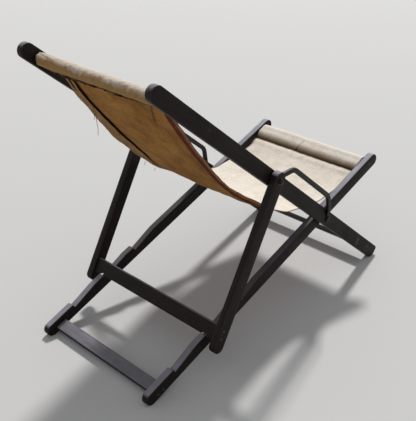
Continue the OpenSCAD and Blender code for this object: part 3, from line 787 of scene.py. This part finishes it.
def setMap(piece, u, v):
    # the cloth's own map, in metres across and along
    layer = piece.data.uv_layers[0]
    layer.name = "clothMap"
    corners = np.zeros(len(piece.data.loops), np.int32)
    piece.data.loops.foreach_get("vertex_index", corners)
    layer.data.foreach_set("uv", np.stack([u[corners], v[corners]], axis=1).astype(np.float32).ravel())


def setMask(piece, name, values):
    mask = piece.data.attributes.new(name, "FLOAT", "POINT")
    mask.data.foreach_set("value", np.clip(values, 0, 1).astype(np.float32))


def thicken(piece, thickness, rearMaterial=True):
    activate(piece)
    solid = piece.modifiers.new("cloth", "SOLIDIFY")
    solid.thickness = thickness
    solid.offset = 0
    solid.use_even_offset = True
    if rearMaterial:
        solid.material_offset = 1
        solid.material_offset_rim = 1
    bpy.ops.object.modifier_apply(modifier="cloth")
    bpy.ops.object.shade_smooth()


def hangBetween(piece):
    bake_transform(piece)


def headTurn(row):
    # how far round the head dowel a row lies, in degrees from straight up towards the rear
    yz = np.stack([atRow(row, path[:, k]) for k in (0, 1)], axis=1) - onBack(sling["dowelHead"], 0.0)
    return np.degrees(np.arctan2(yz[:, 0], yz[:, 1]))


wrinkles = {
    # ripples: height, how much finer across and along, seed; the roll has them about a place round the dowel
    "pockets": ((0.0008, 1, 1.6, 11), (0.0004, 2.6, 2.6, 12), (0.0005, 6, 5, 13)),
    "roll": ((0.0007, 9, 13, 15),), "rollAbout": (40, 70),
    # gathers that run out of both seams: seed and number; then place across, width, height, reach, slant
    "frontGathers": (3, 22), "headGathers": (5, 16), "gatherFade": 0.008,
    "gather": ((-0.2, 0.2), (0.004, 0.011), (-0.0012, 0.0012), (0.02, 0.07), (-0.12, 0.12)),
    # short creases round the head pocket: the same, with degrees round the dowel before the reach
    "creases": (9, 120),
    "crease": ((-0.23, 0.23), (0.0020, 0.0060), (-0.0014, 0.0011), (-20, 110), (10, 40), (-0.0007, 0.0007)),
    # the front pocket is full on both sides of its seam: height, metres past the seam, width
    "full": ((0.0052, -0.022, 0.015), (0.0030, 0.020, 0.011)),
    # how deep and wide both seams are
    "frontSeam": (0.0046, 0.0058), "headSeam": (0.0010, 0.004),
    # one fold runs across the front pocket: place, slant, width; then where it fades, in metres past the seam
    "frontFold": (0.034, 0.25, 0.0022), "frontFoldDepth": 0.0011,
    "frontFoldEnds": (-0.050, -0.040, 0.0, 0.028),
    # slack folds at the head pocket's far end: degrees round, slope, width, height
    "slack": ((8, 420, 9, 0.0021), (-12, 260, 7, -0.0018), (48, 300, 12, 0.0015), (95, -380, 14, -0.0016)),
    "slackFrom": (0.150, 0.205), "slackAt": 0.225,
}


def drawn(spin, ranges):
    # one even random draw from each range, in their order
    return [spin.uniform(low, high) for low, high in ranges]


def seamGathers(u, v):
    lift = np.zeros_like(u)
    for inside, key in ((v - frontRun, "frontGathers"), (headRun - v, "headGathers")):
        seed, count = wrinkles[key]
        spin = np.random.default_rng(seed)
        for _ in range(count):
            centre, width, height, reach, slant = drawn(spin, wrinkles["gather"])
            fade = np.exp(-np.clip(inside, 0, None) / reach)
            fade *= np.exp(-np.clip(-inside, 0, None) / wrinkles["gatherFade"])
            lift += height * near(u + slant * inside, centre, width) * fade
    return lift


def frontFold(u, v):
    place, slant, width = wrinkles["frontFold"]
    ends = (frontRun + past for past in wrinkles["frontFoldEnds"])
    return near(u, place + slant * (v - frontRun), width) * plateau(v, *ends)


def rollLift(kind, turn, u, v):
    # short creases round the head pocket, then slack folds at its far end
    lift = ripples(u, v, wrinkles["roll"]) * near(turn, *wrinkles["rollAbout"])
    seed, count = wrinkles["creases"]
    spin = np.random.default_rng(seed)
    for _ in range(count):
        centre, width, height, place, reach, slant = drawn(spin, wrinkles["crease"])
        lift += height * near(u + slant * (turn - place), centre, width) * near(turn, place, reach)
    lift *= kind > sling["rollFrom"]
    farEnd = (kind > 5.2) * rise(u, *wrinkles["slackFrom"])
    for start, slope, width, height in wrinkles["slack"]:
        lift += height * farEnd * near(turn, start + slope * (wrinkles["slackAt"] - u), width)
    return lift


def pocketLift(row, u, v):
    kind = atRow(row, part)
    lift = ripples(u, v, wrinkles["pockets"]) + seamGathers(u, v) * (kind < 5.5)
    full = sum(height * near(v, frontRun + past, width) for height, past, width in wrinkles["full"])
    lift += full * (1 + 0.12 * np.sin(u * 61) + 0.10 * np.sin(u * 143 + 2))
    for seam, (depth, width) in ((frontRun, wrinkles["frontSeam"]), (headRun, wrinkles["headSeam"])):
        lift -= depth * near(v, seam, width)
    lift -= wrinkles["frontFoldDepth"] * frontFold(u, v)
    return lift + rollLift(kind, headTurn(row), u, v)


def pocketEnd(u):
    return np.interp(u, *np.array(sling["pocketEnd"]).T)


def pocketShift(row, u):
    # moves the head pocket's loose end, and the cloth it rests on, to where pocketEnd has it
    first, last = seamRows["head"], len(path) - 1
    middle, seam = (sling["dowelHead"], 0.0), np.array(sling["headSeam"])
    touch = np.array(arcPoints(middle, touchAngle(middle, seam, -1), 0, 1)[0])
    end, aim = seam + np.array(sling["headFlap"]), np.array(sling["flapAim"])
    meet = end + (aim - end) * ((pocketEnd(u) - end[0]) / (aim[0] - end[0]))[:, None]
    under = meet + np.array((0, sling["flapGap"]))
    share, meetShare = np.clip((row - first) / sling["headSeamSteps"], 0, 1), sling["meetShare"]
    # below the meeting point the cloth is straight, above it lies round the dowel's lower side
    spoke = under - middle
    angle, reach = np.arctan2(spoke[:, 1], spoke[:, 0]) % (2 * math.pi), np.hypot(*spoke.T)
    turn = np.clip((share - meetShare) / (1 - meetShare), 0, 1)
    angle = angle + (math.atan2(*(touch - middle)[::-1]) - angle) * turn
    reach = reach + (sling["wrap"] - reach) * turn
    straight = seam + (under - seam) * (share / meetShare)[:, None]
    curved = middle + np.stack([reach * np.cos(angle), reach * np.sin(angle)], axis=1)
    bent = np.where((share < meetShare)[:, None], straight, curved)
    shift = (bent - seam - (touch - seam) * share[:, None]) * ((share > 0) & (share < 1))[:, None]
    flapSteps = sling["headFlapSteps"]
    shift += (meet - end) * np.clip((row - last + flapSteps) / flapSteps, 0, 1)[:, None]
    along, over = onBack(1, 0) - onBack(0, 0), onBack(0, 1) - onBack(0, 0)
    return np.stack([np.zeros_like(u), shift @ (along[0], over[0]), shift @ (along[1], over[1])], axis=1)


dirtAndShadeLevels = {
    # how dark: the front seam's hollow (painted shade), line and stitches, the fold across it (painted
    # shade), both edges, flecks on the roll
    "hollow": 0.62, "seam": 0.25, "ticks": 0.25, "fold": 0.45, "edges": 0.08, "flecks": 0.42,
    # the rear side: the cloth behind the far hem (painted shadow), and the fold (painted shade) and the line
    # beside the near edge
    "behindHem": 0.95, "nearFold": 0.42, "nearFoldWidth": 0.0040, "nearLine": 0.5,
    "nearLineAt": (-0.2075, 0.0028),
    # painted shade in creases on the rear side near the head seam: place across, slant, start and end past
    # the seam, depth
    "creases": ((-0.112, -0.42, -0.082, 0.004, 0.75), (-0.115, -0.80, -0.010, 0.020, 0.45),
                (-0.060, 0.30, -0.150, -0.120, 0.25), (-0.040, 0.35, -0.120, -0.085, 0.25),
                (0.030, 0.20, -0.010, 0.030, 0.30), (0.095, -0.40, -0.090, -0.060, 0.25)),
    "creaseWidth": 0.0044, "creaseFade": 0.012,
    # ripples that set how unevenly the painted shade on the roll changes, in degrees round the dowel, and its
    # flecks
    "rollWaves": ((9, 1.3, 0, 31), (8, 5, 5, 32), (10, 13, 11, 33)),
    "fleckWaves": ((1, 16, 20, 41), (0.5, 5, 5, 42)),
}


def ragged(u):
    # how unevenly the head pocket's loose end is cut
    return 0.6 * np.sin(u * 52) + 0.4 * np.sin(u * 143 + 1) + 0.3 * np.sin(u * 311)


def dashes(u):
    # stitches that show as uneven dashes
    return 0.5 + 0.5 * np.sin(u * 118 + 0.8 * np.sin(u * 37))


def seamHollow(v):
    # the shade in the front seam reaches further into the pocket than onto the hanging cloth
    return near(v, frontRun, np.where(v < frontRun, 0.016, 0.0062))


def dirtAndShadeMask(row, u, v, turn):
    kind, rows = atRow(row, part), len(path) - 1
    ticks = near(v, frontRun - 0.001, 0.006) * (0.5 + 0.5 * np.sin(u * 900 + 3 * np.sin(u * 130)))
    # painted shade in the front seam's hollow and in the fold across it, with the seam's line and stitches
    soil = dirtAndShadeLevels["hollow"] * seamHollow(v) + dirtAndShadeLevels["seam"] * near(v, frontRun - 0.001, 0.005)
    soil += dirtAndShadeLevels["ticks"] * ticks * (1 - rise(u, -0.16, -0.08)) + dirtAndShadeLevels["fold"] * frontFold(u, v)
    # painted shadow along the head pocket's loose end
    looseEnd = (kind > sling["looseFrom"]) * rise(row, rows - 13, rows - 8) * (1 - 0.5 * rise(-u, 0.13, 0.2))
    soil += (0.7 + 0.3 * dashes(u)) * looseEnd
    flecks = rise(ripples(u, v, dirtAndShadeLevels["fleckWaves"]), 0.3, 1.3) * near(turn, 62, 34)
    return soil + dirtAndShadeLevels["flecks"] * (kind > sling["rollFrom"]) * flecks


def rearDirtAndShadeMask(row, u, v):
    share = shareAt(v)
    hemEdge = sling["halfWidth"] - smoothCurve(hems["farWidth"], share) - 0.004
    # painted shadow on the cloth behind the far hem
    soil = dirtAndShadeLevels["behindHem"] * rise(u, hemEdge - 0.001, hemEdge + 0.003) * rise(share, 0.53, 0.6)
    # painted shadow on the cloth behind the head pocket's loose end
    meetRow = seamRows["head"] + sling["headSeamSteps"] * sling["meetShare"]
    covered = rise(row, meetRow - 5.0 - 1.6 * ragged(u), meetRow - 2.4) * (1 - 0.55 * rise(-u, 0.13, 0.19))
    soil += (0.75 + 0.25 * dashes(u)) * covered
    # painted shade in the fold beside the near edge
    fold = near(u, np.interp(share, *sling["foldAt"]) - 0.002, dirtAndShadeLevels["nearFoldWidth"])
    soil += dirtAndShadeLevels["nearFold"] * fold * plateau(share, *sling["foldEnds"])
    soil += dirtAndShadeLevels["nearLine"] * near(u, *dirtAndShadeLevels["nearLineAt"]) * rise(share, 0.55, 0.7)
    past, fade = v - headRun, dirtAndShadeLevels["creaseFade"]
    # painted shade along the rear creases
    for at, slant, low, high, depth in dirtAndShadeLevels["creases"]:
        middle = at + slant * (past - low) + 0.0012 * np.sin(past * 460)
        crease = near(u, middle, dirtAndShadeLevels["creaseWidth"])
        soil += depth * crease * plateau(past, low, low + fade, high - fade, high)
    return soil


def shadeTintMask(row, u, v, turn):
    # painted shade: the roll round the head dowel turns brown on its rear side, away from the light, and so
    # does the front seam's hollow
    kind = atRow(row, part)
    onRoll = 0.20 * rise(turn, -60, 0) + 0.80 * rise(turn, 16, 92)
    onRoll += 0.25 * rise(turn, -50, 0) * rise(u, 0.02, 0.2)
    return (kind > sling["rollFrom"]) * onRoll + 0.85 * (kind < 4) * seamHollow(v)


def makeSling():
    rows = len(path) - 1
    piece, s, t = clothGrid("slingCanvas", sling["acrossSteps"], rows)
    across, row = s * 2 - 1, t * rows
    u, v = across * atRow(row, path[:, 2]), atRow(row, run)
    flapEnd = np.clip((row - rows + sling["flapEndSteps"]) / sling["flapEndSteps"], 0, 1) ** 1.5
    uneven = sling["raggedBy"] * ragged(u)
    lift = hangLift(row, u, v, across) + pocketLift(row, u, v)
    lift += flapEnd * (sling["flapStand"] + uneven) * (1 - 0.45 * rise(-u, 0.13, 0.2))
    toHead = np.array([0, *(onBack(1, 0) - onBack(0, 0))])
    points = clothPoint(row, across, lift) + (flapEnd * uneven)[:, None] * toHead + pocketShift(row, u)
    setPoints(piece, points)
    setMap(piece, u, v)
    setMask(piece, "rearSoil", rearDirtAndShadeMask(row, u, v))
    turn = headTurn(row) + ripples(u, v, dirtAndShadeLevels["rollWaves"])
    turn = np.where((turn < -130) | (atRow(row, part) > sling["looseFrom"]), turn + 360, turn)
    setMask(piece, "soil", dirtAndShadeMask(row, u, v, turn) + dirtAndShadeLevels["edges"] * near(np.abs(across), 1.0, 0.012))
    setMask(piece, "tan", shadeTintMask(row, u, v, turn))
    piece.data.materials.append(seatCloth)
    piece.data.materials.append(rearCloth)
    thicken(piece, sling["cloth"])
    hangBetween(piece)
    return piece


# hems along both edges of the sling, on its rear side
# the far one has come loose: its free edge stands off the cloth, and its head end is torn in two
hems = {
    "farWidth": ((0, 6), (0.48, 8), (0.56, 28), (0.62, 44), (0.70, 47), (0.90, 46), (0.95, 47), (1, 47)),
    "farStand": ((0, 0), (0.50, 0.4), (0.58, 3.0), (0.70, 5.0), (0.85, 6.0), (0.95, 6.0), (1, 3.4)),
    "nearWidth": ((0, 5), (0.6, 4), (1, 5)), "nearStand": ((0, 0.1), (1, 0.2)),
    "cloth": 0.0011, "rest": 0.0014, "columns": 18,
    # the gap in the torn end: where it starts and is fully open, half its width and its middle across the hem
    "tear": (0.93, 0.975), "tearHalf": 0.15, "tearAt": 0.52,
}


def makeHem(name, side, widthKnots, standKnots, seed):
    first, last = seamRows["front"] + 6, seamRows["head"] - 1
    piece, s, t = clothGrid(name, hems["columns"], (last - first) * 2)
    row = first + t * (last - first)
    v = atRow(row, run)
    share = shareAt(v)
    width, stand = smoothCurve(widthKnots, share), smoothCurve(standKnots, share)
    inner = (1 - s) if side > 0 else s
    spin = np.random.default_rng(seed)
    wave = sum(spin.uniform(0.4, 1.0) * np.sin(v * f + spin.uniform(0, 6)) for f in (19, 43, 88, 160)) / 3
    fray = sum(spin.uniform(0.5, 1.0) * np.sin(v * f + spin.uniform(0, 6)) for f in (310, 470, 760)) / 3
    free = width * (1 + 0.10 * wave) + 0.0009 * fray * (width > 0.012)
    half = sling["halfWidth"]
    u = side * (half + 0.0004 + 0.0006 * fray - inner * free)
    lift = hangLift(row, np.clip(u, -half, half), v, np.clip(u / half, -1, 1))
    lift += -hems["rest"] * rise(inner, 0, 0.06) - stand * inner ** 0.8 * (1 + 0.18 * wave)
    setPoints(piece, clothPoint(row, u / half, lift))
    setMap(piece, u, v)
    fringe = near(inner, 1.0, 0.10) * (0.30 + 0.35 * np.sin(v * 240) * np.sin(v * 97))
    middle = near(inner, 0.5, 0.06) * rise(share, 0.8, 0.9)
    soil = np.clip(fringe, 0, 0.6) + 0.55 * near(inner, 0.0, 0.05) + 0.25 * middle
    setMask(piece, "soil", soil * (1.0 if side > 0 else 0.5 + 0.8 * rise(share, 0.6, 0.8)))
    if side > 0:
        tearHem(piece, share, inner)
    piece.data.materials.append(hemCloth)
    thicken(piece, hems["cloth"], rearMaterial=False)
    hangBetween(piece)
    return piece


def tearHem(piece, share, inner):
    # opens a narrow gap along the middle of the hem's head end
    start, wide = hems["tear"]
    halfGap = hems["tearHalf"] * rise(share, start, wide)
    away = np.abs(inner - hems["tearAt"])
    for polygon in piece.data.polygons:
        corners = list(polygon.vertices)
        torn = np.mean(share[corners]) > start and np.mean(away[corners]) < np.mean(halfGap[corners])
        polygon.select = bool(torn)
    activate(piece)
    for item in [*piece.data.vertices, *piece.data.edges]:
        item.select = False
    bpy.context.tool_settings.mesh_select_mode = (False, False, True)
    bpy.ops.object.mode_set(mode="EDIT")
    bpy.ops.mesh.delete(type="FACE")
    bpy.ops.object.mode_set(mode="OBJECT")


slingPiece = makeSling()
print("sling made")
hemPieces = [makeHem("hemLeft", 1, hems["farWidth"], hems["farStand"], 21),
             makeHem("hemRight", -1, hems["nearWidth"], hems["nearStand"], 22)]

# loose threads
threads = {
    "radius": 0.0007, "fine": 0.00026, "tip": 0.45, "points": 14,
    # each: share of the open length, metres across, lift off the cloth, then where its end hangs
    "hanging": [(0.895, 0.168, -0.006, (0.004, 0.0, -0.086)), (0.905, 0.170, -0.006, (-0.006, 0.004, -0.040)),
                (0.990, 0.212, -0.002, (0.002, -0.045, -0.072)), (0.545, 0.211, -0.009, (0.001, 0, -0.010)),
                (0.60, 0.210, -0.009, (0.004, 0, -0.014)), (0.965, -0.210, 0.0, (0.003, 0, -0.02)),
                (0.78, 0.170, -0.006, (0.003, 0, -0.016))],
    # short ends: number, share of the open length, length; past hemFrom every other one stands on the hem
    "frayed": 110, "frayedAt": (0.30, 0.985), "frayedLength": (0.0015, 0.0045), "hemFrom": 0.62,
}


def clothSpot(share, u, lift):
    row = np.array([seamRows["front"] + share * (seamRows["head"] - seamRows["front"])])
    across = np.array([u / sling["halfWidth"]])
    hang = hangLift(row, np.array([u]), atRow(row, run), np.clip(across, -1, 1))
    return Vector(clothPoint(row, across, hang + lift)[0])


def threadMesh(name, lines, radius):
    curve = bpy.data.curves.new(name, "CURVE")
    curve.dimensions = "3D"
    curve.bevel_depth = radius
    curve.bevel_resolution = 1
    curve.use_fill_caps = True
    for line in lines:
        spline = curve.splines.new("POLY")
        spline.points.add(len(line) - 1)
        for point, place in zip(spline.points, line):
            point.co = (*place, 1)
            point.radius = 1.0
        spline.points[-1].radius = threads["tip"]
    piece = bpy.data.objects.new(name, curve)
    bpy.context.collection.objects.link(piece)
    activate(piece)
    bpy.ops.object.convert(target="MESH")
    piece = bpy.context.object
    layer = piece.data.uv_layers[0] if piece.data.uv_layers else piece.data.uv_layers.new(name="clothMap")
    layer.name = "clothMap"
    # each thread is darkest at its root
    count = len(piece.data.vertices)
    each = count // len(lines)
    setMask(piece, "soil", 0.9 - 0.75 * rise((np.arange(count) % each) / each, 0.25, 0.75))
    piece.data.materials.clear()
    piece.data.materials.append(hemCloth)
    bpy.ops.object.shade_smooth()
    hangBetween(piece)
    return piece


def hangingLine(index, share, u, lift, end):
    root = clothSpot(share, u, lift)
    line = []
    for f in np.linspace(0, 1, threads["points"]):
        sway = Vector((0.0022 * math.sin(f * 5.2 + index) * f, 0.002 * math.sin(f * 7 + index) * f, 0))
        line.append(root + Vector(end) * f + sway)
    return line


def frayedLines():
    # short ends that stand out of the far edge and of the loose hem's free edge
    spin = np.random.default_rng(51)
    lines = []
    for index in range(threads["frayed"]):
        share, length = spin.uniform(*threads["frayedAt"]), spin.uniform(*threads["frayedLength"])
        if share > threads["hemFrom"] and index % 2:
            u = sling["halfWidth"] - float(smoothCurve(hems["farWidth"], share))
            root = clothSpot(share, u, -hems["rest"] - float(smoothCurve(hems["farStand"], share)))
            way = Vector((-1, spin.uniform(-0.8, 0.8), spin.uniform(-0.9, 0.1))).normalized()
        else:
            root = clothSpot(share, sling["halfWidth"] + 0.0003, -0.0008)
            way = Vector((1, spin.uniform(-0.8, 0.8), spin.uniform(-1.2, -0.2))).normalized()
        bend = Vector((0, 0, -0.3 * length))
        lines.append([root, root + way * length * 0.5, root + way * length + bend])
    return lines


hanging = [hangingLine(index, *values) for index, values in enumerate(threads["hanging"])]
threadPieces = [threadMesh("looseThreads", hanging, threads["radius"]),
                threadMesh("frayedThreads", frayedLines(), threads["fine"])]
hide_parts("sling")
print("hems and threads made")


# floor, light and background
studio = {"floor": (0.58, 0.583, 0.587), "backdrop": (0.955, 0.965, 0.985), "seen": 0.9, "sky": 0.45,
          "toKey": (0.45, -0.76, 1.0), "keyAway": 30.0, "keySize": 3.0, "key": 7900.0,
          "keyColour": (1.0, 0.975, 0.935), "aim": (0.0, 0.0, 0.4), "floorSize": 14}


def makeStudio():
    deselectAll()
    bpy.ops.mesh.primitive_plane_add(size=studio["floorSize"], location=(0, 0, 0))
    floor = bpy.context.object
    floor.name = "studioFloor"
    material, tree, shader = newMaterial("floorPaper", 0.9, specular=0.1)
    shader.inputs["Base Color"].default_value = (*studio["floor"], 1)
    floor.data.materials.append(material)
    world = bpy.data.worlds.new("studioWorld")
    bpy.context.scene.world = world
    world.use_nodes = True
    tree = world.node_tree
    backdrop = tree.nodes["Background"]
    backdrop.inputs["Color"].default_value = (*studio["backdrop"], 1)
    rays = addNode(tree, "ShaderNodeLightPath", -600, 200).outputs
    direct = math2(tree, -400, 100, "ADD", rays["Is Camera Ray"], rays["Is Glossy Ray"])
    direct = math2(tree, -300, 150, "ADD", direct, rays["Is Transmission Ray"], clamp=True)
    strength = remap(tree, -200, 200, direct, 0.0, 1.0, studio["sky"], studio["seen"])
    tree.links.new(strength, backdrop.inputs["Strength"])
    aim = Vector(studio["aim"])
    place = aim + Vector(studio["toKey"]).normalized() * studio["keyAway"]
    bpy.ops.object.light_add(type="AREA", location=place)
    lamp = bpy.context.object
    lamp.name = "keyLight"
    lamp.data.size = studio["keySize"]
    lamp.data.energy = studio["key"]
    lamp.data.color = studio["keyColour"]
    lamp.rotation_euler = (aim - place).to_track_quat("-Z", "Y").to_euler()
    bpy.context.scene.view_settings.view_transform = "Standard"


makeStudio()
print("studio made")
